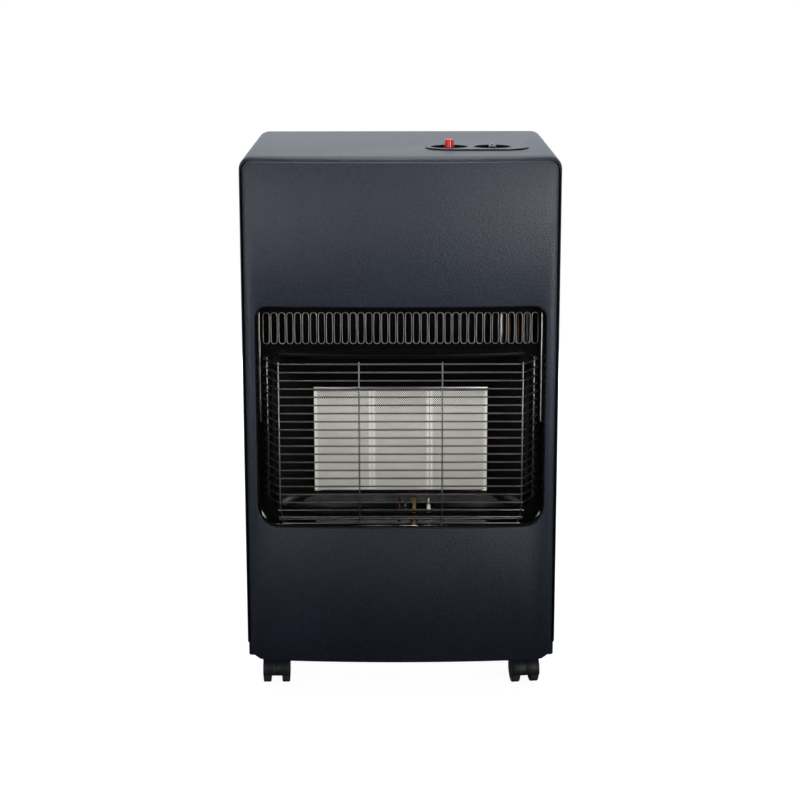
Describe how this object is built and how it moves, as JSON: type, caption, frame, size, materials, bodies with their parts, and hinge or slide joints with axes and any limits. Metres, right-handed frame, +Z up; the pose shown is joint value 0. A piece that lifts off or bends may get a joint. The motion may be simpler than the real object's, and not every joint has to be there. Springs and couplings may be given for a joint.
{
  "type": "portable gas cabinet heater",
  "caption": "Steel cabinet heater on casters: ceramic gas plaques behind a wire guard in the front, bottle bay behind a lift-off rear cover, push and turn controls in the top.",
  "frame": {"origin": "centre of the footprint on the floor", "axes": "+Z up, the fire faces -Y, +X to the right of somebody facing the fire"},
  "size_m": [0.42, 0.4016, 0.748],
  "materials": {
    "paint": "fine textured powder coat, slate grey",
    "enamel": "glossy black heat-resistant enamel",
    "guard_wire": "bright plated wire",
    "steel": "plain steel",
    "zinc": "zinc-plated sheet",
    "brass": "turned and forged brass",
    "copper": "drawn copper pipe",
    "plaque": "pierced matt ceramic",
    "porcelain": "white glaze",
    "black_plastic": "moulded, satin black",
    "red_plastic": "moulded, glossy red",
    "pointer": "pale grey inlay",
    "wheel": "dark grey nylon",
    "lead_cover": "grey silicone sleeve"
  },
  "bodies": {
    "cabinet": {"side_and_top_shell": "paint", "front_panel": "paint", "base_pan": "paint", "control_bezel": "paint", "fire_surround": "enamel", "heat_deflector": "enamel", "reflector": "enamel", "plaque_rail_bottom": "enamel", "wire_guard": "guard_wire", "plaque_rail_top": "steel", "burner_plenum": "steel", "gas_manifold": "steel", "burner_pipe": "steel", "rear_top_rail": "zinc", "heat_shield": "zinc", "bottle_stop": "zinc", "burner_bracket_left": "zinc", "burner_bracket_right": "zinc", "manifold_bracket": "zinc", "pilot_bracket": "zinc", "caster_plate_front_left": "zinc", "caster_plate_front_right": "zinc", "caster_plate_rear_left": "zinc", "caster_plate_rear_right": "zinc", "injector_left": "brass", "injector_centre": "brass", "injector_right": "brass", "pilot_burner": "brass", "gas_valve": "brass", "hose_tail": "brass", "thermocouple": "copper", "pilot_pipe": "copper", "ceramic_plaque_left": "plaque", "ceramic_plaque_centre": "plaque", "ceramic_plaque_right": "plaque", "spark_electrode": "porcelain", "igniter_body": "black_plastic", "ignition_lead": "lead_cover"},
    "spindle": {"valve_spindle": "steel"},
    "knob": {"control_knob": "black_plastic", "knob_pointer": "pointer"},
    "button": {"igniter_button": "red_plastic"},
    "cover": {"rear_cover": "paint"},
    "swivel_front_left": {"caster_hood_front_left": "black_plastic", "caster_axle_front_left": "zinc"},
    "wheel_left_front_left": {"caster_wheel_left_front_left": "wheel"},
    "wheel_right_front_left": {"caster_wheel_right_front_left": "wheel"},
    "swivel_front_right": {"caster_hood_front_right": "black_plastic", "caster_axle_front_right": "zinc"},
    "wheel_left_front_right": {"caster_wheel_left_front_right": "wheel"},
    "wheel_right_front_right": {"caster_wheel_right_front_right": "wheel"},
    "swivel_rear_left": {"caster_hood_rear_left": "black_plastic", "caster_axle_rear_left": "zinc"},
    "wheel_left_rear_left": {"caster_wheel_left_rear_left": "wheel"},
    "wheel_right_rear_left": {"caster_wheel_right_rear_left": "wheel"},
    "swivel_rear_right": {"caster_hood_rear_right": "black_plastic", "caster_axle_rear_right": "zinc"},
    "wheel_left_rear_right": {"caster_wheel_left_rear_right": "wheel"},
    "wheel_right_rear_right": {"caster_wheel_right_rear_right": "wheel"}
  },
  "joints": [
    {"name": "knob_turn", "type": "hinge", "parent": "cabinet", "child": "spindle", "pos_m": [0.124, -0.06948, 0.72], "axis": [0, 0, 1], "range_deg": [0, 240]},
    {"name": "knob_push", "type": "slide", "parent": "spindle", "child": "knob", "axis": [0, 0, -1], "range_m": [0, 0.005], "stiffness_N_per_m": 800, "springref_m": -0.001},
    {"name": "igniter_press", "type": "slide", "parent": "cabinet", "child": "button", "axis": [0, 0, -1], "range_m": [0, 0.006], "stiffness_N_per_m": 900, "springref_m": -0.001},
    {"name": "rear_cover_off", "type": "slide", "parent": "cabinet", "child": "cover", "axis": [0, 1, 0], "range_m": [0, 0.15]},
    {"name": "swivel_turn_front_left", "type": "hinge", "parent": "cabinet", "child": "swivel_front_left", "pos_m": [-0.173, -0.14748, 0.045], "axis": [0, 0, 1], "continuous": true},
    {"name": "wheel_roll_left_front_left", "type": "hinge", "parent": "swivel_front_left", "child": "wheel_left_front_left", "pos_m": [-0.173, -0.13348, 0.02], "axis": [1, 0, 0], "continuous": true},
    {"name": "wheel_roll_right_front_left", "type": "hinge", "parent": "swivel_front_left", "child": "wheel_right_front_left", "pos_m": [-0.173, -0.13348, 0.02], "axis": [1, 0, 0], "continuous": true},
    {"name": "swivel_turn_front_right", "type": "hinge", "parent": "cabinet", "child": "swivel_front_right", "pos_m": [0.173, -0.14748, 0.045], "axis": [0, 0, 1], "continuous": true},
    {"name": "wheel_roll_left_front_right", "type": "hinge", "parent": "swivel_front_right", "child": "wheel_left_front_right", "pos_m": [0.17105, -0.13362, 0.02], "axis": [0.9903, 0.1392, 0], "continuous": true},
    {"name": "wheel_roll_right_front_right", "type": "hinge", "parent": "swivel_front_right", "child": "wheel_right_front_right", "pos_m": [0.17105, -0.13362, 0.02], "axis": [0.9903, 0.1392, 0], "continuous": true},
    {"name": "swivel_turn_rear_left", "type": "hinge", "parent": "cabinet", "child": "swivel_rear_left", "pos_m": [-0.173, 0.13052, 0.045], "axis": [0, 0, 1], "continuous": true},
    {"name": "wheel_roll_left_rear_left", "type": "hinge", "parent": "swivel_rear_left", "child": "wheel_left_rear_left", "pos_m": [-0.173, 0.14452, 0.02], "axis": [1, 0, 0], "continuous": true},
    {"name": "wheel_roll_right_rear_left", "type": "hinge", "parent": "swivel_rear_left", "child": "wheel_right_rear_left", "pos_m": [-0.173, 0.14452, 0.02], "axis": [1, 0, 0], "continuous": true},
    {"name": "swivel_turn_rear_right", "type": "hinge", "parent": "cabinet", "child": "swivel_rear_right", "pos_m": [0.173, 0.13052, 0.045], "axis": [0, 0, 1], "continuous": true},
    {"name": "wheel_roll_left_rear_right", "type": "hinge", "parent": "swivel_rear_right", "child": "wheel_left_rear_right", "pos_m": [0.173, 0.14452, 0.02], "axis": [1, 0, 0], "continuous": true},
    {"name": "wheel_roll_right_rear_right", "type": "hinge", "parent": "swivel_rear_right", "child": "wheel_right_rear_right", "pos_m": [0.173, 0.14452, 0.02], "axis": [1, 0, 0], "continuous": true}
  ]
}
